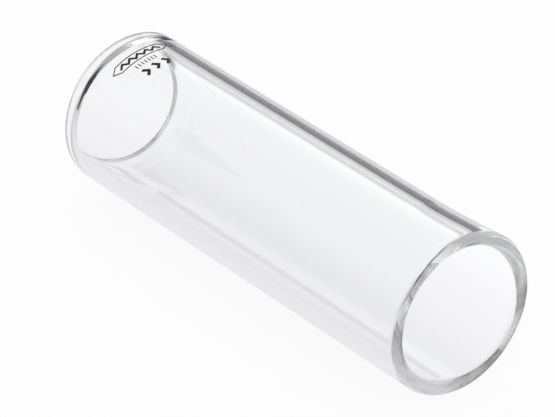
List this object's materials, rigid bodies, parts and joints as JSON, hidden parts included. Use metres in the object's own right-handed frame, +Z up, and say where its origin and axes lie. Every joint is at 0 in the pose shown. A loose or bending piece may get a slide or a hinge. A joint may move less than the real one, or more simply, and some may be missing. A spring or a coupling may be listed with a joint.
{
  "type": "guitar slide",
  "caption": "Clear glass guitar slide: a plain open tube with fire-polished rims, worn on a finger and drawn along the strings.",
  "frame": {"origin": "on the finger bore's axis, halfway along the tube", "axes": "+X along the bore towards the belled mouth, +Z up with the tube lying on its side and its marking on top"},
  "size_m": [0.069, 0.0226, 0.0226],
  "materials": {
    "clear_glass": "clear, fire-polished borosilicate",
    "black_enamel": "thin fired enamel, semi-gloss"
  },
  "bodies": {
    "root": {"glass_tube": "clear_glass", "print_frame": "black_enamel", "print_zigzag": "black_enamel", "print_ticks": "black_enamel", "print_chevrons": "black_enamel"}
  },
  "joints": []
}
